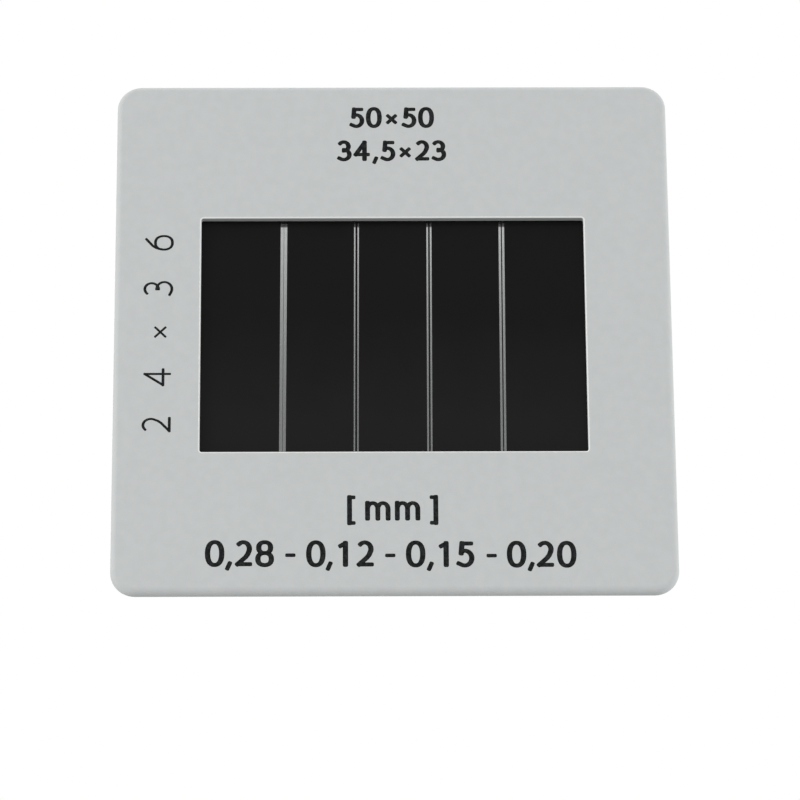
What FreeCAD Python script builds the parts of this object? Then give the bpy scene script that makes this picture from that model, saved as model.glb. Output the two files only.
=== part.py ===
import FreeCAD, Part
import os
import PartDesign
import Sketcher

# Double-slit slide: a 50 x 50 mm plastic slide mount that holds a black film with four
# pairs of fine clear slits. The mount is two halves that snap together round the film.
# The slide stands on its bottom edge and faces -Y, with +Z up. The origin is the centre
# of the bottom edge, in the middle of the thickness. Millimetres and degrees.

doc = FreeCAD.newDocument("double_slit_slide")
sheet = doc.addObject("Spreadsheet::Sheet", "sizes")

SIZES = {
    # outline of the mount
    "slide_width": 50.0,
    "slide_height": 50.0,
    "corner_radius": 2.2,
    "seam_chamfer": 0.03,
    # share of each half's thickness that its outer rounding takes
    "edge_round_share": 0.82,
    # window as seen from the front, and how much smaller the rear one is on each side
    "window_width": 34.5,
    "window_height": 23.0,
    "window_corner": 0.2,
    "window_edge_round": 0.12,
    "rear_window_inset": 0.25,
    # plastic in front of the film and behind it
    "front_lip": 0.6,
    "rear_lip": 0.5,
    "front_pocket": 0.1,
    # film chip: the black layer faces the viewer and the clear base backs it
    "film_width": 38.0,
    "film_height": 35.0,
    "black_layer": 0.03,
    "clear_base": 0.15,
    "film_play": 0.02,
    "pocket_play": 0.35,
    "film_shift": -0.03,
    "film_skew": 0.28,
    # slits: two equal slits in a pair, and the four pairs from left to right
    "slit_height": 27.0,
    "slit_spacing": 0.31,
    "pair_pitch": 6.55,
    "slit_wide_a": 0.28,
    "slit_wide_b": 0.12,
    "slit_wide_c": 0.15,
    "slit_wide_d": 0.20,
    # snap pins of the rear half, and their sockets in the front half
    "pin_diameter": 1.5,
    "pin_length": 0.36,
    "pin_from_side": 2.6,
    "pin_tip": 0.12,
    "socket_play": 0.02,
    "socket_end_gap": 0.04,
}

for row, (name, value) in enumerate(SIZES.items(), start=1):
    sheet.set("A%d" % row, name)
    sheet.set("B%d" % row, str(value))
    sheet.setAlias("B%d" % row, name)
doc.recompute()

# Lengths that follow from the driving ones, written as spreadsheet formulas
FILM_STACK = "(sizes.black_layer + sizes.clear_base + sizes.film_play)"
THICKNESS = "(sizes.front_lip + %s + sizes.rear_lip)" % FILM_STACK
FRONT_HALF = "(sizes.front_lip + sizes.front_pocket)"
REAR_POCKET = "(%s - sizes.front_pocket)" % FILM_STACK
REAR_HALF = "(sizes.rear_lip + %s)" % REAR_POCKET
PARTING_Y = "(%s - %s / 2)" % (FRONT_HALF, THICKNESS)
FILM_Y = "(sizes.front_lip - %s / 2)" % THICKNESS
POCKET_WIDTH = "(sizes.film_width + 2 * sizes.pocket_play)"
POCKET_HEIGHT = "(sizes.film_height + 2 * sizes.pocket_play)"
REAR_WINDOW_WIDTH = "(sizes.window_width - 2 * sizes.rear_window_inset)"
REAR_WINDOW_HEIGHT = "(sizes.window_height - 2 * sizes.rear_window_inset)"
PIN_ACROSS = "(sizes.slide_width / 2 - sizes.pin_from_side)"
PIN_UP = "(sizes.slide_height / 2 - sizes.pin_from_side)"
SOCKET_DIAMETER = "(sizes.pin_diameter + 2 * sizes.socket_play)"
SOCKET_DEPTH = "(sizes.pin_length + sizes.socket_end_gap)"
SLIT_PAIRS = ("a", "b", "c", "d")
NEAR = 1e-4


# Sketches

def new_body(label, depth):
    """A piece whose own origin is the slide's centre, at the depth that the formula gives."""
    body = doc.addObject("PartDesign::Body", label)
    body.Label = label
    body.setExpression("Placement.Base.y", depth)
    body.setExpression("Placement.Base.z", "sizes.slide_height / 2")
    return body


def new_sketch(body, name):
    """A sketch on the piece's upright plane: X is across, Z is up and -Y is out of it."""
    sketch = body.newObject("Sketcher::SketchObject", name)
    upright = [plane for plane in body.Origin.OriginFeatures if plane.Role == "XZ_Plane"][0]
    sketch.AttachmentSupport = [(upright, "")]
    sketch.MapMode = "FlatFace"
    return sketch


def drive(sketch, name, formula, kind, *elements):
    """A named dimension of a sketch, bound to a formula."""
    index = sketch.addConstraint(Sketcher.Constraint(kind, *elements, 1.0))
    sketch.renameConstraint(index, name)
    sketch.setExpression("Constraints." + name, formula)


def add_rectangle(sketch, name, width, height, left=None):
    """A rectangle level with the sketch's origin, centred on it or reaching left as given."""
    ends = [FreeCAD.Vector(x, z, 0) for x, z in ((-1, -1), (1, -1), (1, 1), (-1, 1))]
    bottom = sketch.GeometryCount
    sides = [bottom + number for number in range(4)]
    for number in range(4):
        sketch.addGeometry(Part.LineSegment(ends[number], ends[(number + 1) % 4]), False)
    for number in range(4):
        following = sides[(number + 1) % 4]
        sketch.addConstraint(Sketcher.Constraint("Coincident", sides[number], 2, following, 1))
        level = "Horizontal" if number % 2 == 0 else "Vertical"
        sketch.addConstraint(Sketcher.Constraint(level, sides[number]))
    drive(sketch, name + "_width", width, "DistanceX", bottom, 1, bottom, 2)
    drive(sketch, name + "_height", height, "DistanceY", bottom + 1, 1, bottom + 1, 2)
    drive(sketch, name + "_left", left or width + " / 2", "DistanceX", bottom, 1, -1, 1)
    drive(sketch, name + "_below", height + " / 2", "DistanceY", bottom, 1, -1, 1)


def add_pin_circles(sketch, diameter):
    """Eight circles: one near each corner and one at the middle of each side."""
    places = [(x, z) for x in (-1, 0, 1) for z in (-1, 0, 1) if x or z]
    for number, (x, z) in enumerate(places):
        start = FreeCAD.Vector(x, z, 0)
        circle = sketch.addGeometry(Part.Circle(start, FreeCAD.Vector(0, 0, 1), 0.5), False)
        drive(sketch, "diameter_%d" % number, diameter, "Diameter", circle)
        for way, kind, reach, axis in ((x, "DistanceX", PIN_ACROSS, -2), (z, "DistanceY", PIN_UP, -1)):
            if way == 0:
                sketch.addConstraint(Sketcher.Constraint("PointOnObject", circle, 3, axis))
                continue
            ends = (-1, 1, circle, 3) if way > 0 else (circle, 3, -1, 1)
            drive(sketch, "%s_%d" % (kind, number), reach, kind, *ends)


# Solid features. Towards the viewer is -Y, which is the way out of every sketch.

def add_pad(body, name, sketch, length, to_rear):
    """Material on the sketch, towards the viewer or to the rear."""
    pad = body.newObject("PartDesign::Pad", name)
    pad.Profile = sketch
    pad.setExpression("Length", length)
    pad.Reversed = to_rear
    doc.recompute()
    return pad


def add_pocket(body, name, sketch, depth, to_rear):
    """A recess cut from the sketch, towards the viewer or to the rear."""
    before = body.Shape.Volume
    pocket = body.newObject("PartDesign::Pocket", name)
    pocket.Profile = sketch
    pocket.setExpression("Length", depth)
    pocket.Reversed = not to_rear
    doc.recompute()
    if body.Shape.Volume >= before:
        raise RuntimeError(name + " cuts nothing")
    return pocket


def edges_where(shape, test):
    """Names of the edges whose two ends and middle all pass the test."""
    names = []
    for number, edge in enumerate(shape.Edges, start=1):
        middle = edge.valueAt((edge.FirstParameter + edge.LastParameter) / 2)
        points = [vertex.Point for vertex in edge.Vertexes] + [middle]
        if all(test(point) for point in points):
            names.append("Edge%d" % number)
    return names


def add_dress(body, kind, name, size_name, size, test):
    """A fillet or chamfer on the edges that pass the test."""
    tip = body.Tip
    feature = body.newObject("PartDesign::" + kind, name)
    feature.Base = (tip, edges_where(tip.Shape, test))
    feature.setExpression(size_name, size)
    doc.recompute()
    return feature


def value_of(formula):
    """The number that a formula of the spreadsheet stands for, in millimetres."""
    found = sheet.evalExpression(formula.replace("sizes.", ""))
    return float(getattr(found, "Value", found))


def at_corner(width, height):
    """Test for the upright plan corners of a rectangle of this width and height."""
    half_width = value_of(width) / 2
    half_height = value_of(height) / 2
    return lambda p: (abs(abs(p.x) - half_width) < NEAR and abs(abs(p.z) - half_height) < NEAR)


def on_rim(depth, width, height, inside):
    """Test for the edges in one face that lie outside, or not outside, a rectangle."""
    face_y = value_of(depth)
    half_width = value_of(width) / 2 + NEAR
    half_height = value_of(height) / 2 + NEAR
    return lambda p: (abs(p.y - face_y) < NEAR
                      and (abs(p.x) < half_width and abs(p.z) < half_height) == inside)


# The two halves of the mount

def add_half(label, thickness, to_rear, window_width, window_height, pocket_depth):
    """One half: a rounded square plate with its window and its share of the film pocket."""
    half = new_body(label, PARTING_Y)
    plate = new_sketch(half, label + "_plate_sketch")
    add_rectangle(plate, "plate", "sizes.slide_width", "sizes.slide_height")
    add_pad(half, label + "_plate", plate, thickness, to_rear)
    corners = at_corner("sizes.slide_width", "sizes.slide_height")
    add_dress(half, "Fillet", label + "_corners", "Radius", "sizes.corner_radius", corners)
    seam = on_rim("0", "0", "0", False)
    add_dress(half, "Chamfer", label + "_seam", "Size", "sizes.seam_chamfer", seam)

    window = new_sketch(half, label + "_window_sketch")
    add_rectangle(window, "window", window_width, window_height)
    add_pocket(half, label + "_window", window, thickness, to_rear)
    corners = at_corner(window_width, window_height)
    add_dress(half, "Fillet", label + "_window_corners", "Radius", "sizes.window_corner", corners)

    pocket = new_sketch(half, label + "_film_pocket_sketch")
    add_rectangle(pocket, "pocket", POCKET_WIDTH, POCKET_HEIGHT)
    add_pocket(half, label + "_film_pocket", pocket, pocket_depth, to_rear)

    face = thickness if to_rear else "(0 - %s)" % thickness
    outer = on_rim(face, window_width, window_height, False)
    rounding = "sizes.edge_round_share * " + thickness
    add_dress(half, "Fillet", label + "_outer_round", "Radius", rounding, outer)
    inner = on_rim(face, window_width, window_height, True)
    add_dress(half, "Fillet", label + "_window_round", "Radius", "sizes.window_edge_round", inner)
    return half


front_frame = add_half("front_frame", FRONT_HALF, False,
                       "sizes.window_width", "sizes.window_height", "sizes.front_pocket")
sockets = new_sketch(front_frame, "front_frame_sockets_sketch")
add_pin_circles(sockets, SOCKET_DIAMETER)
add_pocket(front_frame, "front_frame_sockets", sockets, SOCKET_DEPTH, False)

rear_frame = add_half("rear_frame", REAR_HALF, True,
                      REAR_WINDOW_WIDTH, REAR_WINDOW_HEIGHT, REAR_POCKET)
pins = new_sketch(rear_frame, "rear_frame_pins_sketch")
add_pin_circles(pins, "sizes.pin_diameter")
add_pad(rear_frame, "rear_frame_pins", pins, "sizes.pin_length", False)
pin_ends = on_rim("(0 - sizes.pin_length)", "0", "0", False)
add_dress(rear_frame, "Chamfer", "rear_frame_pin_tips", "Size", "sizes.pin_tip", pin_ends)


# The film chip. It lies a little askew in its pocket.

def add_film_sheet(label, depth, thickness):
    """One layer of the film chip, the size of the chip."""
    layer = new_body(label, depth)
    layer.Placement.Rotation = FreeCAD.Rotation(FreeCAD.Vector(0, 1, 0), 1)
    layer.setExpression("Placement.Base.x", "sizes.film_shift")
    layer.setExpression("Placement.Rotation.Angle", "sizes.film_skew")
    chip = new_sketch(layer, label + "_sketch")
    add_rectangle(chip, "chip", "sizes.film_width", "sizes.film_height")
    add_pad(layer, label + "_sheet", chip, thickness, True)
    return layer


slit_layer = add_film_sheet("slit_layer", FILM_Y, "sizes.black_layer")
first_pair = (1 - len(SLIT_PAIRS)) / 2
for number, letter in enumerate(SLIT_PAIRS):
    pair_middle = "%s * sizes.pair_pitch" % (first_pair + number)
    slit_width = "sizes.slit_wide_" + letter
    pair = new_sketch(slit_layer, "slit_pair_%s_sketch" % letter)
    for side, sign in (("left", "-"), ("right", "+")):
        slit_middle = "(%s %s sizes.slit_spacing / 2)" % (pair_middle, sign)
        reach_left = "%s / 2 - %s" % (slit_width, slit_middle)
        add_rectangle(pair, side, slit_width, "sizes.slit_height", reach_left)
    add_pocket(slit_layer, "slit_pair_" + letter, pair, "sizes.black_layer", True)

film_base = add_film_sheet("film_base", FILM_Y + " + sizes.black_layer", "sizes.clear_base")


# Checks and files

doc.recompute()
for item in doc.Objects:
    if "Invalid" in item.State or "Error" in item.State:
        raise RuntimeError(item.Label + " failed")

os.makedirs("parts", exist_ok=True)
for piece in (front_frame, rear_frame, slit_layer, film_base):
    shape = piece.Shape
    if shape.isNull() or not shape.isValid() or len(shape.Solids) != 1:
        raise RuntimeError(piece.Label + " is not one valid solid")
    shape.exportStep("parts/%s.step" % piece.Label)
    box = shape.BoundBox
    print("%-12s volume %8.2f  x %.2f..%.2f  y %.3f..%.3f  z %.2f..%.2f" % (
        piece.Label, shape.Volume, box.XMin, box.XMax, box.YMin, box.YMax, box.ZMin, box.ZMax))
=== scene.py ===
# %% [markdown]
# # A double-slit slide
# The real object is a slide mount of light grey plastic, 50 mm square and 1.3 mm thick.
# A black film with four pairs of fine clear slits fills its window. On an optical bench,
# light that goes through a pair of slits makes a pattern of bright and dark bands.
#
# The four solids were drawn in CAD and come in as a fixed frame: two snapped halves, the
# black layer of the film and the clear sheet behind it. They are never moved or reshaped
# here. Blender gives them their looks, and adds what is only ink on the real slide.

# %% Load the frame and measure it
import math

import bmesh
import bpy
from mathutils import Matrix, Vector


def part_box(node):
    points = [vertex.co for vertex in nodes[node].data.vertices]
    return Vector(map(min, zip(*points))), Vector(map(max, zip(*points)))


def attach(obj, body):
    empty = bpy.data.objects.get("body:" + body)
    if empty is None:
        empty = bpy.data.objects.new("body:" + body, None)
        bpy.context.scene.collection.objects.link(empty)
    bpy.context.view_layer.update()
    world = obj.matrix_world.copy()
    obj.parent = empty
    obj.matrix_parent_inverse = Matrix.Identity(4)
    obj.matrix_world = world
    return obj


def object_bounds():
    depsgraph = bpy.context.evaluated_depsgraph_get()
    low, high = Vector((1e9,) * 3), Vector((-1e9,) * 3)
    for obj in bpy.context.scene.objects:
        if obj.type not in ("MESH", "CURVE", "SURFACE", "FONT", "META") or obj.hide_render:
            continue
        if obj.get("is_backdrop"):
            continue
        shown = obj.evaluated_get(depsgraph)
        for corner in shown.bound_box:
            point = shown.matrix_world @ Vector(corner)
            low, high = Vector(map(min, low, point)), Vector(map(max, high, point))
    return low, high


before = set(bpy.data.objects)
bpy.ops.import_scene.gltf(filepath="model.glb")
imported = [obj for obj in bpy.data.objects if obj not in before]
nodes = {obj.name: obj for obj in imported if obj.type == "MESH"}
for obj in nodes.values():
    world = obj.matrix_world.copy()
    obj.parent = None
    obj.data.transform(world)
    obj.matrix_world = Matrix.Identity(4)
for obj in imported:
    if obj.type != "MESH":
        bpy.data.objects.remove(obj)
cad_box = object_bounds()
MM = 0.001
for name in sorted(nodes):
    low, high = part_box(name)
    print(name, "measures", [round(side / MM, 3) for side in high - low], "mm")

# %% [markdown]
# ## A short way to write materials
# A material in Blender is a small net of nodes that ends in a shader. It can be drawn by
# hand in the shader editor, or written as code. Code is chosen here because the same few
# steps come back in every finish: make a node, set its options, and feed its inputs.
# One helper does all three. It takes a plain number or the output of another node for
# each input, so a whole finish reads from top to bottom like a recipe.

# %% One helper for all nodes
def add_node(tree, kind, options, inputs):
    """A node of this kind. An input is given a value, or is linked to another output."""
    made = tree.nodes.new(kind)
    for option, value in options.items():
        setattr(made, option, value)
    for place, value in inputs.items():
        if isinstance(value, bpy.types.NodeSocket):
            tree.links.new(value, made.inputs[place])
        else:
            made.inputs[place].default_value = value
    return made


def calculate(tree, operation, *inputs):
    """The result of one sum on two or three numbers."""
    made = add_node(tree, "ShaderNodeMath", {"operation": operation}, dict(enumerate(inputs)))
    return made.outputs[0]


# %% A place on the slide, in millimetres
def place_in_mm(tree):
    """Where a point lies on the slide, in millimetres from the slide's own origin."""
    where = add_node(tree, "ShaderNodeTexCoord", {}, {})
    to_mm = {0: where.outputs["Object"], "Scale": 1 / MM}
    return add_node(tree, "ShaderNodeVectorMath", {"operation": "SCALE"}, to_mm).outputs[0]


def split_place(tree, place):
    """The three parts of a place, to be taken by their names X, Y and Z."""
    return add_node(tree, "ShaderNodeSeparateXYZ", {}, {0: place}).outputs


# %% Noise, and values carried over to another range
NOISE_RANGE = (0.3, 0.7)


def noise_of_size(tree, place, size, detail):
    """A soft random pattern, mostly within NOISE_RANGE, with patches this many mm wide."""
    inputs = {"Vector": place, "Scale": 1 / size, "Detail": detail, "Roughness": 0.5}
    return add_node(tree, "ShaderNodeTexNoise", {}, inputs).outputs[0]


def spread_to(tree, value, old_range, new_range):
    """The value carried over from one range to another, and held at its two ends."""
    inputs = {0: value, 1: old_range[0], 2: old_range[1], 3: new_range[0], 4: new_range[1]}
    return add_node(tree, "ShaderNodeMapRange", {}, inputs).outputs[0]


def blend_colours(tree, amount, low_colour, high_colour):
    """A colour between the two, from the first at 0 to the second at 1."""
    inputs = {0: amount, 6: low_colour, 7: high_colour}
    return add_node(tree, "ShaderNodeMix", {"data_type": "RGBA"}, inputs).outputs[2]


# %% A new material, its plain values and its relief
def new_finish(name):
    """A material, its node net and its shader."""
    material = bpy.data.materials.new(name)
    material.use_nodes = True
    tree = material.node_tree
    return material, tree, tree.nodes["Principled BSDF"]


def set_inputs(shader, values):
    """Plain values on the shader's own inputs."""
    for name, value in values.items():
        shader.inputs[name].default_value = value


def add_relief(tree, shader, height, depth):
    """Fine relief that is too small to model: depth is in metres for a height of 1."""
    inputs = {"Strength": 1.0, "Distance": depth, "Height": height}
    relief = add_node(tree, "ShaderNodeBump", {}, inputs)
    tree.links.new(relief.outputs[0], shader.inputs["Normal"])


# %% Put a finish on a CAD solid
def dress(name, material):
    """Gives a CAD solid its finish in place of the plain one that it came with."""
    slots = nodes[name].data.materials
    slots.clear()
    slots.append(material)
    print(name, "now wears", material.name)


# %% [markdown]
# ## The grey plastic
# The mount is moulded from light grey plastic with a fine matt skin. Up close the grey is
# not quite even: there are faint cloudy patches a millimetre or two wide, and a very fine
# grain left by the mould. The corner where the face turns into the window is sharper, and
# the thin line of light it catches is a painted highlight with a slightly uneven edge.
#
# One flat grey would look like paper. Painting the patches by hand would work too, but it
# would need an image. Two noise patterns in millimetres give the clouds and the grain at
# their real size, and the rim's painted highlight is found from the place on the slide: it
# is the set of points that lie close to the window's outline. A third pattern moves its
# border in and out by a few hundredths of a millimetre, so that it doesn't look ruled. The
# same distance finds the window's inner wall, which gets less light: that shade is painted
# in as a darker grey.

# %% How far a point is from the window, in millimetres
FRONT_WINDOW = (34.5, 23.0)
REAR_WINDOW = (34.0, 22.5)
WINDOW_CORNER = 0.2
MIDDLE_Z = 25.0


def outside_window(tree, place, window):
    """How far a point lies outside a window of this width and height, corners included."""
    parts = split_place(tree, place)
    from_middle = calculate(tree, "SUBTRACT", parts["Z"], MIDDLE_Z)
    squares = []
    for distance, side in ((parts["X"], window[0]), (from_middle, window[1])):
        straight = side / 2 - WINDOW_CORNER
        past = calculate(tree, "SUBTRACT", calculate(tree, "ABSOLUTE", distance), straight)
        squares.append(calculate(tree, "POWER", calculate(tree, "MAXIMUM", past, 0.0), 2.0))
    reach = calculate(tree, "SQRT", calculate(tree, "ADD", *squares))
    return calculate(tree, "SUBTRACT", reach, WINDOW_CORNER)


# %% The window's rim and inner wall, with painted highlight and painted shade
# how the rim's painted highlight fades out, and how much its border wobbles
RIM_FADE = (0.1085, 0.155)
RIM_HIGHLIGHT_WOBBLE_SIZE = 0.3
RIM_HIGHLIGHT_WOBBLE_DEPTH = 0.09
WALL_EDGE = (0.005, 0.02)


def near_window(tree, place, window):
    """Two masks, 1 on the rim's painted highlight and 1 on the wall's painted shade, else 0."""
    outside = outside_window(tree, place, window)
    highlight_wobble = calculate(tree, "SUBTRACT", noise_of_size(tree, place, RIM_HIGHLIGHT_WOBBLE_SIZE, 2.0), 0.5)
    uneven = calculate(tree, "MULTIPLY_ADD", highlight_wobble, RIM_HIGHLIGHT_WOBBLE_DEPTH, outside)
    wall = spread_to(tree, outside, WALL_EDGE, (1, 0))
    rim = calculate(tree, "SUBTRACT", spread_to(tree, uneven, RIM_FADE, (1, 0)), wall)
    return rim, wall


# %% Make the plastic for one half
PLASTIC_GREY = (0.514, 0.533, 0.531, 1)
PLASTIC_PALE = (0.532, 0.551, 0.549, 1)
# painted highlight on the window's rim, and painted shade on its inner wall
RIM_PAINTED_HIGHLIGHT = (0.765, 0.78, 0.765, 1)
WALL_PAINTED_SHADE = (0.375, 0.39, 0.385, 1)
PLASTIC_ROUGHNESS = (0.5, 0.62)
PLASTIC_SHEEN = 0.35
CLOUD_SIZE = 0.9
CLOUD_RANGE = (0.35, 0.65)
GRAIN_SIZE = 0.16
GRAIN_DEPTH = 0.004 * MM


def make_plastic(name, window):
    """Matt grey plastic: faint clouds, fine grain, painted highlight and shade at the window."""
    material, tree, shader = new_finish(name)
    place = place_in_mm(tree)
    clouds = noise_of_size(tree, place, CLOUD_SIZE, 3.0)
    grain = noise_of_size(tree, place, GRAIN_SIZE, 2.0)
    cloudy = spread_to(tree, clouds, CLOUD_RANGE, (0, 1))
    grey = blend_colours(tree, cloudy, PLASTIC_GREY, PLASTIC_PALE)
    rim, wall = near_window(tree, place, window)
    # painted highlight on the window's rim, then painted shade on its inner wall
    colour = blend_colours(tree, rim, grey, RIM_PAINTED_HIGHLIGHT)
    colour = blend_colours(tree, wall, colour, WALL_PAINTED_SHADE)
    tree.links.new(colour, shader.inputs["Base Color"])
    dull = spread_to(tree, grain, NOISE_RANGE, PLASTIC_ROUGHNESS)
    tree.links.new(dull, shader.inputs["Roughness"])
    set_inputs(shader, {"Specular IOR Level": PLASTIC_SHEEN})
    add_relief(tree, shader, grain, GRAIN_DEPTH)
    return material


dress("front_frame", make_plastic("front_plastic", FRONT_WINDOW))
dress("rear_frame", make_plastic("rear_plastic", REAR_WINDOW))

# %% [markdown]
# ## The black film
# The film's dark side is a developed black layer. It is nearly black all over, with a
# dull sheen and the slight unevenness of a thin coating. A plain black would swallow the
# light altogether, so the finish keeps a weak, wide reflection, and its roughness drifts
# a little from place to place so that the sheen is not the same everywhere. Towards the
# foot of the window the black turns to charcoal, as it does in the photograph. A narrow
# band under the window's top lies in the shade of the mount, and that shade is painted
# into the black as a slightly darker colour.

# %% Make the black layer
FILM_BLACK = (0.0033, 0.0031, 0.0031, 1)
FILM_CHARCOAL = (0.0079, 0.0078, 0.0078, 1)
# painted shade: a darker band on the film just under the window's top
FILM_SHADE = (0.0016, 0.0016, 0.0016, 1)
FILM_FADE_Z = (19.0, 29.0)
FILM_FADE_DRIFT = 4.0
FILM_SHADE_Z = (35.76, 36.06)
FILM_ROUGHNESS = (0.46, 0.54)
FILM_SHEEN = 0.11
FILM_PATCH = 5.0
FILM_FLECK = 0.12
FILM_FLECK_DEPTH = 0.0006 * MM


def make_black_film():
    """Black film coating with a low sheen, paler at the foot, painted shade under the top."""
    material, tree, shader = new_finish("black_film")
    place = place_in_mm(tree)
    patches = noise_of_size(tree, place, FILM_PATCH, 3.0)
    flecks = noise_of_size(tree, place, FILM_FLECK, 2.0)
    height = split_place(tree, place)["Z"]
    drifting = calculate(tree, "MULTIPLY_ADD", patches, FILM_FADE_DRIFT, height)
    foot = spread_to(tree, drifting, FILM_FADE_Z, (1, 0))
    colour = blend_colours(tree, foot, FILM_BLACK, FILM_CHARCOAL)
    # painted shade under the window's top, where the mount shades the film
    shade = spread_to(tree, height, FILM_SHADE_Z, (0, 1))
    colour = blend_colours(tree, shade, colour, FILM_SHADE)
    tree.links.new(colour, shader.inputs["Base Color"])
    dull = spread_to(tree, patches, NOISE_RANGE, FILM_ROUGHNESS)
    tree.links.new(dull, shader.inputs["Roughness"])
    set_inputs(shader, {"Specular IOR Level": FILM_SHEEN})
    add_relief(tree, shader, flecks, FILM_FLECK_DEPTH)
    return material


dress("slit_layer", make_black_film())

# %% [markdown]
# ## The clear sheet behind it
# The slits are real gaps in the black layer. Behind them lies the clear plastic sheet
# that carries the coating. It is not perfectly clear: its grey tint is partly the haze of
# film base and partly painted shade, and in the photograph it is lighter at the top of the
# window than at the bottom.
#
# A see-through shader with an index of refraction gives the sheet true reflections on
# both faces. Its tint follows the height on the slide, so each slit fades evenly from
# light at its top to a darker grey at its foot: that fall is painted shade. The last half
# millimetre under the window's top lies in the shade of the mount, and that shade is
# painted in as a nearly black tint.

# %% Make the clear sheet
# partly haze, partly painted shade: the tint falls from light at the top to dark at the foot
HAZE_AND_SHADE_TOP = (0.375, 0.385, 0.38, 1)
HAZE_AND_SHADE_FOOT = (0.145, 0.15, 0.148, 1)
# painted shade: a nearly black tint just under the window's top
HAZE_SHADE = (0.03, 0.03, 0.03, 1)
HAZE_AND_SHADE_Z = (14.5, 35.5)
HAZE_AND_SHADE_CURVE = 2.0
SHADE_Z = (35.86, 35.96)
STREAK_SIZE = 0.8
STREAK_DRIFT = 1.2
SHEET_ROUGHNESS = (0.02, 0.06)
SHEET_INDEX = 1.5


def make_clear_sheet():
    """Hazy see-through sheet with painted shade: lighter towards the top, black under the mount.
    """
    material, tree, shader = new_finish("clear_film_base")
    place = place_in_mm(tree)
    streaks = noise_of_size(tree, place, STREAK_SIZE, 2.0)
    height = split_place(tree, place)["Z"]
    drifting = calculate(tree, "MULTIPLY_ADD", streaks, STREAK_DRIFT, height)
    # painted shade: the tint darkens towards the foot of the window
    evenly = spread_to(tree, drifting, HAZE_AND_SHADE_Z, (0, 1))
    lightness = calculate(tree, "POWER", evenly, HAZE_AND_SHADE_CURVE)
    colour = blend_colours(tree, lightness, HAZE_AND_SHADE_FOOT, HAZE_AND_SHADE_TOP)
    # painted shade: nearly black just under the window's top
    shade = spread_to(tree, height, SHADE_Z, (0, 1))
    colour = blend_colours(tree, shade, colour, HAZE_SHADE)
    tree.links.new(colour, shader.inputs["Base Color"])
    smooth = spread_to(tree, streaks, NOISE_RANGE, SHEET_ROUGHNESS)
    tree.links.new(smooth, shader.inputs["Roughness"])
    set_inputs(shader, {"Transmission Weight": 1.0, "IOR": SHEET_INDEX})
    return material


dress("film_base", make_clear_sheet())

# %% [markdown]
# ## Printed figures as strokes of ink
# The mount is printed in black. Under the window stand the widths of the slits in
# millimetres, and small figures stand at the top and along one side. The upright parts
# of a figure are a little thicker than the level ones, and its ends are almost square.
#
# Blender's text tool could write them with a typeface, but a pen stroke is closer to what
# is seen here, and it is easy to build: walk along a line, and put a flat round bead of
# ink round it. Half of the bead is sunk in the face and half stands a few thousandths of
# a millimetre proud, so the ink is a real thin shape with an edge of its own. The pen
# widens where the line runs upright, as a broad pen does.

# %% The pen, and where it goes along a line
UPRIGHT_PEN = 1.14
LEVEL_PEN = 0.94


def pen_share(way):
    """How wide the pen is where the line runs this way, 1 being its plain width."""
    return UPRIGHT_PEN * way.y ** 2 + LEVEL_PEN * way.x ** 2


def stations_along(path, half_width, closed):
    """A middle, a direction and a half width for each ring along a line."""
    stations = []
    for number, point in enumerate(path):
        if closed:
            behind, ahead = path[number - 1], path[(number + 1) % len(path)]
        else:
            behind, ahead = path[max(number - 1, 0)], path[min(number + 1, len(path) - 1)]
        way = (ahead - behind).normalized()
        stations.append((point, way, half_width * pen_share(way)))
    return stations


# %% The almost square ends of a line
CAP_STEPS = 6
CAP_SQUARENESS = 3.2
CAP_TURN = 89


def end_stations(point, way, half_width):
    """The stations that close a line at its end, from the full width to almost nothing."""
    stations = []
    for step in range(1, CAP_STEPS + 1):
        turn = math.radians(CAP_TURN * step / CAP_STEPS)
        reach = math.sin(turn) ** (2 / CAP_SQUARENESS)
        across = math.cos(turn) ** (2 / CAP_SQUARENESS)
        stations.append((point + way * half_width * reach, way, half_width * across))
    return stations


def with_ends(stations):
    """The same stations with an end put on before the first and after the last."""
    point, way, half = stations[0]
    start = [(middle, way, width)
             for middle, backwards, width in reversed(end_stations(point, -way, half))]
    return start + stations + end_stations(*stations[-1])


# %% A bead of ink along a line
INK_HEIGHT = 0.006 * MM
BEAD_SIDES = 8
BEAD_END_SHARE = 0.3
front_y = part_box("front_frame")[0].y
print("the ink lies on the face at y =", round(front_y / MM, 3), "mm")


def add_ring(mesh, station, plain_half):
    """One ring of points across the bead, which gets lower where the line ends."""
    middle, way, half = station
    side = Vector((-way.y, way.x))
    ring = []
    for number in range(BEAD_SIDES):
        turn = 2 * math.pi * number / BEAD_SIDES
        point = middle + side * half * math.cos(turn)
        out = INK_HEIGHT * math.sin(turn) * min(1, half / plain_half + BEAD_END_SHARE)
        ring.append(mesh.verts.new((point.x, front_y - out, point.y)))
    return ring


def add_stroke(mesh, path, half_width, closed=False):
    """A flat bead of ink along a line of (x, z) points in metres."""
    stations = stations_along([Vector(point) for point in path], half_width, closed)
    if not closed:
        stations = with_ends(stations)
    rings = [add_ring(mesh, station, half_width) for station in stations]
    following = rings[1:] + rings[:1] if closed else rings[1:]
    for first, second in zip(rings, following):
        for number in range(BEAD_SIDES):
            after = (number + 1) % BEAD_SIDES
            mesh.faces.new((first[number], first[after], second[after], second[number]))
    if not closed:
        mesh.faces.new(list(reversed(rings[0])))
        mesh.faces.new(rings[-1])


# %% [markdown]
# ## The shapes of the figures
# Each figure is drawn once, in a box that is one unit high. Straight lines need only
# their two ends. Round parts are pieces of ellipses, given by a middle, two radii and the
# angles where they start and stop. A whole figure is a short list of such strokes, and
# where two strokes meet, their ends merge as wet ink does. Round figures reach a little
# past the line above and below, or else they would look smaller than the flat ones.

# %% Arcs and ovals
ARC_STEP = 12
OVAL_POINTS = 36
OVAL_SQUARENESS = 2.3


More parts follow.
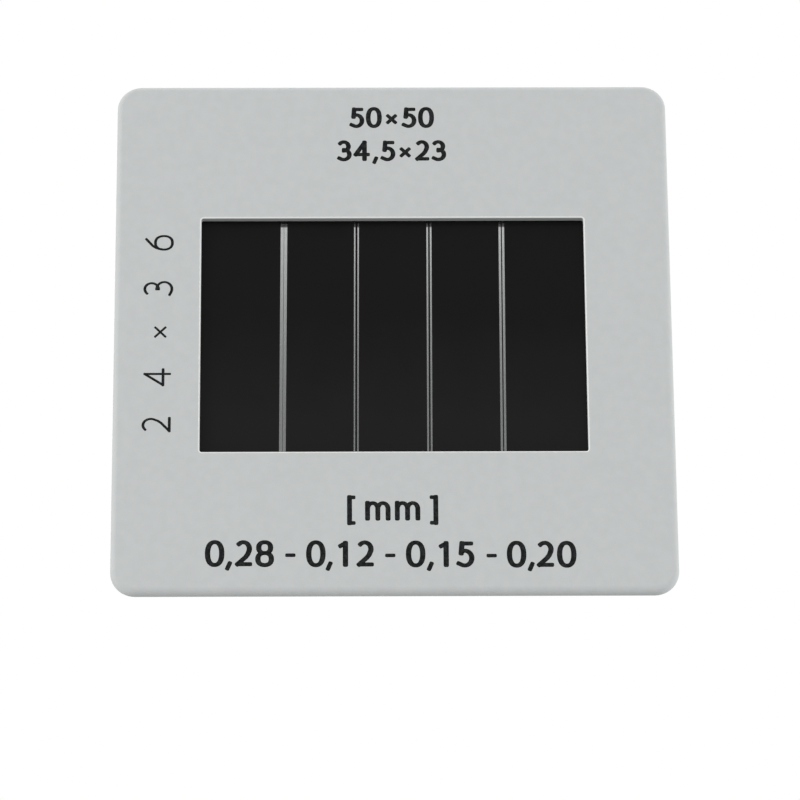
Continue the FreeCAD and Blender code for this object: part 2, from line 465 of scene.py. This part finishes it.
def arc(middle_x, middle_z, radius_x, radius_z, start, stop):
    """Points along part of an ellipse, between two angles in degrees."""
    steps = max(2, round(abs(stop - start) / ARC_STEP))
    points = []
    for step in range(steps + 1):
        turn = math.radians(start + (stop - start) * step / steps)
        across, rise = radius_x * math.cos(turn), radius_z * math.sin(turn)
        points.append((middle_x + across, middle_z + rise))
    return points


def oval(middle_x, middle_z, radius_x, radius_z):
    """A closed ring that is a little squarer than an ellipse."""
    points = []
    for step in range(OVAL_POINTS):
        turn = math.radians(360 * step / OVAL_POINTS)
        across, rise = math.cos(turn), math.sin(turn)
        total = abs(across) ** OVAL_SQUARENESS + abs(rise) ** OVAL_SQUARENESS
        reach = total ** (1 / OVAL_SQUARENESS)
        points.append((middle_x + radius_x * across / reach, middle_z + radius_z * rise / reach))
    return points


# %% The figures one by one: the width, the open lines and the closed rings of each
OVER = 0.04
FIGURES = {
    "0": (0.62, [], [oval(0.31, 0.5, 0.31, 0.5 + OVER)]),
    "1": (0.215, [[(0, 0.875), (0.215, 1)], [(0.215, 1), (0.215, 0)]], []),
    "2": (0.55,
          [arc(0.25, 0.73, 0.271, 0.27 + OVER, 134, -30) + [(0.44, 0.46), (0.35, 0.33), (0, 0)],
           [(0, 0), (0.55, 0)]],
          []),
    "3": (0.56,
          [arc(0.25, 0.765, 0.26, 0.235 + OVER, 138, -90),
           arc(0.25, 0.265, 0.31, 0.265 + OVER, 90, -115) + [(0, 0.05)]],
          []),
    "4": (0.67,
          [[(0.48, 1), (0, 0.27)], [(0, 0.27), (0.67, 0.27)], [(0.48, 1), (0.48, 0)]],
          []),
    "5": (0.58,
          [[(0.55, 1), (0.156, 1)], [(0.156, 1), (0.12, 0.55)],
           [(0.12, 0.55)] + arc(0.27, 0.31, 0.31, 0.31 + OVER, 100, -115) + [(0, 0.06)]],
          []),
    "6": (0.60,
          [[(0.46, 1)] + arc(0.57, 0.33, 0.56, 0.60, 138, 176)],
          [oval(0.30, 0.30, 0.30, 0.30 + OVER)]),
    "8": (0.59,
          [],
          [oval(0.295, 0.783, 0.258, 0.257), oval(0.295, 0.245, 0.295, 0.285)]),
    ",": (0.10, [[(0.10, 0.04), (0, -0.20)]], []),
    "-": (0.28, [[(0, 0.5), (0.28, 0.5)]], []),
    "x": (0.40, [[(0, 0.20), (0.40, 0.60)], [(0, 0.60), (0.40, 0.20)]], []),
    "m": (1.24,
          [[(0, 0), (0, 1)],
           arc(0.31, 0.62, 0.31, 0.38, 172, 0) + [(0.62, 0)],
           arc(0.93, 0.62, 0.31, 0.38, 172, 0) + [(1.24, 0)]],
          []),
    "[": (0.24,
          [[(0.24, 1.38), (0, 1.38)], [(0, 1.38), (0, -0.3)], [(0, -0.3), (0.24, -0.3)]],
          []),
    "]": (0.24,
          [[(0, 1.38), (0.24, 1.38)], [(0.24, 1.38), (0.24, -0.3)], [(0.24, -0.3), (0, -0.3)]],
          []),
}
# the small signs are drawn with a thinner pen, this share of the plain one
PEN_OF_SIGN = {",": 0.86, "-": 0.88, "x": 0.86}
print(len(FIGURES), "signs are drawn")

# %% [markdown]
# ## Where the print stands
# Slides are printed in one go with a rubber pad, so all the print is one thin layer of
# the same ink. Each line of it becomes one piece here. A line is given by its middle, the
# height of its figures, the thickness of the pen, and where each sign starts, measured
# from the photograph on the scale of the 50 mm mount. The line at the left side stands on
# end: it is the same writing with its two directions changed over.

# %% Write one sign
RING_SPACING = 0.12


def fill_out(points):
    """The same line with extra points, so that long straight runs have even rings."""
    filled = []
    for start, stop in zip(points, points[1:]):
        start, stop = Vector(start), Vector(stop)
        count = max(1, round((stop - start).length / RING_SPACING))
        filled += [start.lerp(stop, step / count) for step in range(count)]
    return filled + [Vector(points[-1])]


def write_sign(mesh, sign, left, baseline, height, pen, rising=False):
    """One sign whose ink starts at left and stands on the baseline, all in millimetres.

    A rising sign lies on its back, so that its line reads from the bottom to the top.
    """
    lines, rings = FIGURES[sign][1:]
    body = height - pen
    half_width = pen / 2 * PEN_OF_SIGN.get(sign, 1.0) * MM

    def to_face(point):
        along = (left + pen / 2 + point[0] * body) * MM
        above = (baseline + pen / 2 + point[1] * body) * MM
        return (-above, along) if rising else (along, above)

    for line in lines:
        add_stroke(mesh, [to_face(point) for point in fill_out(line)], half_width)
    for ring in rings:
        add_stroke(mesh, [to_face(point) for point in ring], half_width, closed=True)


# %% Make a printed line a piece of its own
def finish_print(name, mesh):
    """Makes one printed line a piece that rides on the slide."""
    bmesh.ops.recalc_face_normals(mesh, faces=mesh.faces)
    data = bpy.data.meshes.new(name)
    mesh.to_mesh(data)
    mesh.free()
    for face in data.polygons:
        face.use_smooth = True
    piece = bpy.data.objects.new(name, data)
    bpy.context.scene.collection.objects.link(piece)
    piece.data.materials.append(ink)
    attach(piece, "root")
    print(name, "has", len(data.vertices), "points")


# %% The ink
INK_BLACK = (0.0036, 0.0047, 0.0049, 1)
INK_THIN = (0.0205, 0.0228, 0.0232, 1)
INK_PATCH = 0.25
INK_THIN_RANGE = (0.42, 0.68)
INK_ROUGHNESS = (0.42, 0.55)
INK_SHEEN = 0.12
INK_RELIEF = 0.002 * MM


def make_ink():
    """Black pad-printing ink, a little thinner here and there."""
    material, tree, shader = new_finish("black_ink")
    patches = noise_of_size(tree, place_in_mm(tree), INK_PATCH, 3.0)
    thin = spread_to(tree, patches, INK_THIN_RANGE, (0, 1))
    colour = blend_colours(tree, thin, INK_BLACK, INK_THIN)
    tree.links.new(colour, shader.inputs["Base Color"])
    dull = spread_to(tree, patches, NOISE_RANGE, INK_ROUGHNESS)
    tree.links.new(dull, shader.inputs["Roughness"])
    set_inputs(shader, {"Specular IOR Level": INK_SHEEN})
    add_relief(tree, shader, patches, INK_RELIEF)
    return material


ink = make_ink()
print("the ink is", ink.name)

# %% The slit widths under the window
NUMBER_BASE = 2.515
NUMBER_TILT = -0.0052
NUMBER_HEIGHT = 2.43
NUMBER_PEN = 0.42
SLIT_WIDTHS = {
    "0,28": (-16.66, -14.91, -14.03, -12.24),
    "0,12": (-7.77, -6.08, -4.98, -3.35),
    "0,15": (1.00, 2.80, 3.87, 5.39),
    "0,20": (9.87, 11.66, 12.48, 14.28),
}
DASH_STARTS = (-9.67, -0.89, 8.02)
DASH_DROP = 0.14

numbers = bmesh.new()
first_start = SLIT_WIDTHS["0,28"][0]
for widths, starts in SLIT_WIDTHS.items():
    for sign, start in zip(widths, starts):
        base = NUMBER_BASE + NUMBER_TILT * (start - first_start)
        write_sign(numbers, sign, start, base, NUMBER_HEIGHT, NUMBER_PEN)
for start in DASH_STARTS:
    base = NUMBER_BASE + NUMBER_TILT * (start - first_start) - DASH_DROP
    write_sign(numbers, "-", start, base, NUMBER_HEIGHT, NUMBER_PEN)
finish_print("print_slit_widths", numbers)


# %% The plain figures at the top and at the side, and the unit
def sign_width(sign, height, pen):
    """How wide the ink of a sign is, in millimetres. A space has none."""
    if sign == " ":
        return 0.0
    return FIGURES[sign][0] * (height - pen) + pen


def write_line(name, signs, middle, baseline, height, pen, wanted, rising):
    """A line of signs spread evenly over the wanted width, about its middle."""
    widths = [sign_width(sign, height, pen) for sign in signs]
    gap = (wanted - sum(widths)) / (len(signs) - 1)
    mesh = bmesh.new()
    left = middle - wanted / 2
    for sign, width in zip(signs, widths):
        if sign != " ":
            write_sign(mesh, sign, left, baseline, height, pen, rising)
        left += width + gap
    finish_print(name, mesh)


# name, signs, middle, baseline, height, pen, width of the line, and whether it rises
PRINTED_LINES = (
    ("print_mount_size", "50 x 50", -0.02, 45.68, 2.04, 0.38, 7.70, False),
    ("print_window_size", "34,5 x 23", -0.04, 42.29, 2.04, 0.38, 9.90, False),
    ("print_unit", "[ mm ]", -0.16, 6.85, 1.85, 0.39, 8.0, False),
    ("print_film_size", "24x36", 25.12, 19.83, 2.48, 0.23, 19.45, True),
)
for line in PRINTED_LINES:
    write_line(*line)

# %% [markdown]
# ## The floor
# The slide stands on its bottom edge on a pale floor, which holds its soft shadow. The
# photograph is taken from a little below, so the camera is lower than the floor, and the
# floor must not hide the slide. It is seen only from above: from below it lets
# everything through, and it also lets light through, so that the lower edges are lit.
#
# Near the slide the floor is plain matt paper. Further off it turns evenly into the white
# of the background, so no edge shows behind the slide.

# %% The paper, and how it turns white far off
PAPER_GREY = (0.62, 0.62, 0.615, 1)
PAPER_PALE = (0.64, 0.64, 0.635, 1)
FIBRE_SIZE = 3.0
PAPER_RANGE = (150.0, 900.0)


def mix_shaders(tree, amount, first, second):
    """The first shader at 0 and the second at 1."""
    inputs = {0: amount, 1: first, 2: second}
    return add_node(tree, "ShaderNodeMixShader", {}, inputs).outputs[0]


def paper_from_above(tree, shader):
    """Matt paper near the slide, and plain white where it is far away."""
    place = place_in_mm(tree)
    fibres = noise_of_size(tree, place, FIBRE_SIZE, 3.0)
    colour = blend_colours(tree, fibres, PAPER_GREY, PAPER_PALE)
    tree.links.new(colour, shader.inputs["Base Color"])
    set_inputs(shader, {"Specular IOR Level": 0.0, "Roughness": 0.9})
    length = add_node(tree, "ShaderNodeVectorMath", {"operation": "LENGTH"}, {0: place})
    far = spread_to(tree, length.outputs["Value"], PAPER_RANGE, (0, 1))
    white = add_node(tree, "ShaderNodeEmission", {}, {"Color": (1, 1, 1, 1), "Strength": 1.0})
    return mix_shaders(tree, far, shader.outputs[0], white.outputs[0])


# %% Clear from below
def make_floor_finish():
    """Paper from above. From below, and for light that goes through, it is clear."""
    material, tree, shader = new_finish("floor_paper")
    above = paper_from_above(tree, shader)
    clear = add_node(tree, "ShaderNodeBsdfTransparent", {}, {}).outputs[0]
    below = add_node(tree, "ShaderNodeNewGeometry", {}, {}).outputs["Backfacing"]
    ray = add_node(tree, "ShaderNodeLightPath", {}, {}).outputs
    light = calculate(tree, "MAXIMUM", ray["Is Diffuse Ray"], ray["Is Shadow Ray"])
    through = calculate(tree, "MAXIMUM", below, light)
    both = mix_shaders(tree, through, above, clear)
    tree.links.new(both, tree.nodes["Material Output"].inputs["Surface"])
    return material


# %% Lay the floor just under the slide
FLOOR_Z = -0.05 * MM
FLOOR_REACH = 30000 * MM
FLOOR_SIDES = 64

disc = bmesh.new()
bmesh.ops.create_circle(disc, cap_ends=True, segments=FLOOR_SIDES, radius=FLOOR_REACH)
floor_data = bpy.data.meshes.new("floor")
disc.to_mesh(floor_data)
disc.free()
floor = bpy.data.objects.new("floor", floor_data)
floor.location.z = FLOOR_Z
floor.data.materials.append(make_floor_finish())
bpy.context.scene.collection.objects.link(floor)
floor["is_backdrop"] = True
print("the floor faces", [round(part) for part in floor_data.polygons[0].normal])

# %% [markdown]
# ## Light
# A slide is photographed in soft light that comes from all round, with more of it from
# above: in the photograph the top edge is the brightest line and the bottom edge the
# darkest. An even world light does most of the work, because then a colour looks about
# as it is written. A large softbox straight above lights the top edge, one at each side
# lights the round side edges, and a weak one in front is shared by the whole face.
#
# The background is plain white only where it is looked at, straight on, in a reflection
# or through the clear sheet, so it adds nothing to the light on the object.

# %% The world
AMBIENT = 0.676
scene = bpy.context.scene
scene.view_settings.view_transform = "Standard"
world = bpy.data.worlds.new("studio")
world.use_nodes = True
scene.world = world
air = world.node_tree
ray = add_node(air, "ShaderNodeLightPath", {}, {}).outputs
looked_at = calculate(air, "MAXIMUM", ray["Is Camera Ray"], ray["Is Glossy Ray"])
looked_at = calculate(air, "MAXIMUM", looked_at, ray["Is Transmission Ray"])
background = air.nodes["Background"]
air.links.new(spread_to(air, looked_at, (0, 1), (AMBIENT, 1)), background.inputs["Strength"])
background.inputs["Color"].default_value = (1, 1, 1, 1)
print("the ambient light is", AMBIENT)

# %% The softboxes
SLIDE_MIDDLE = Vector((0, 0, MIDDLE_Z * MM))


def direction(azimuth, elevation):
    """The way from the slide towards a place that is seen at these angles, in radians."""
    level = math.cos(elevation)
    return Vector((math.sin(azimuth) * level, -math.cos(azimuth) * level, math.sin(elevation)))


def add_softbox(name, azimuth, elevation, distance, size, brightness):
    """A soft lamp. A surface that faces it squarely gets this much light, 1 being full."""
    back = direction(math.radians(azimuth), math.radians(elevation))
    lamp = bpy.data.lights.new(name, "AREA")
    lamp.size = size
    lamp.energy = brightness * math.pi ** 2 * distance ** 2
    holder = bpy.data.objects.new(name, lamp)
    holder.location = SLIDE_MIDDLE + back * distance
    holder.rotation_mode = "QUATERNION"
    holder.rotation_quaternion = back.to_track_quat("Z", "Y")
    holder.visible_camera = False
    holder.visible_glossy = False
    scene.collection.objects.link(holder)
    print(name, "has", round(lamp.energy, 2), "watts")


# name, azimuth and elevation in degrees, distance and size in metres, brightness
SOFTBOXES = (
    ("overhead_softbox", 0, 90, 1.6, 0.9, 0.31),
    ("left_softbox", -65, 0, 1.2, 0.4, 0.45),
    ("right_softbox", 85, 0, 1.2, 0.4, 0.51),
    ("front_softbox", 0, 30, 1.6, 0.6, 0.10),
)
for softbox in SOFTBOXES:
    add_softbox(*softbox)

# %% [markdown]
# ## The camera
# The photograph looks at the slide from 24 degrees below, almost straight in the middle,
# with a long lens: its left and right sides narrow only a little towards the top. The
# angles, the distance and the lens were found by matching the straight edges of the mount
# and of the window on the 50 mm scale. The camera then moves a few millimetres within its
# own plane, without turning, to put the slide where it stands in the frame.

# %% Set the camera
CAMERA_AZIMUTH = math.radians(-0.726)
CAMERA_ELEVATION = math.radians(-24.146)
CAMERA_ROLL = math.radians(-0.434)
CAMERA_DISTANCE = 475.5 * MM
CAMERA_LENS = 238.736
CAMERA_RIGHT = 0.61 * MM
CAMERA_UP = -5.693 * MM
CAMERA_NEAREST = 10 * MM

back = direction(CAMERA_AZIMUTH, CAMERA_ELEVATION)
level_right = Vector((math.cos(CAMERA_AZIMUTH), math.sin(CAMERA_AZIMUTH), 0))
level_up = back.cross(level_right)
right = math.cos(CAMERA_ROLL) * level_right + math.sin(CAMERA_ROLL) * level_up
up = math.cos(CAMERA_ROLL) * level_up - math.sin(CAMERA_ROLL) * level_right
turned = Matrix((right, up, back)).transposed().to_4x4()
stand = SLIDE_MIDDLE + back * CAMERA_DISTANCE + right * CAMERA_RIGHT + up * CAMERA_UP
camera = bpy.data.objects.new("camera", bpy.data.cameras.new("camera"))
camera.data.lens = CAMERA_LENS
camera.data.clip_start = CAMERA_NEAREST
camera.matrix_world = Matrix.Translation(stand) @ turned
scene.collection.objects.link(camera)
scene.camera = camera
print("the camera stands at", [round(part, 4) for part in camera.location])

# %% [markdown]
# ## The two sizes at the end
# Ink and finishes must not change how big the slide is. The box round the bare CAD solids
# was kept at the start. Now the box round the finished slide is measured, and both are
# written down. They may differ only in front, by the height of the ink.

# %% Write the two sizes and finish
visual_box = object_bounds()
print("the CAD box and the visual box, in millimetres:")
for box in (cad_box, visual_box):
    print([round(side / MM, 3) for corner in box for side in corner])
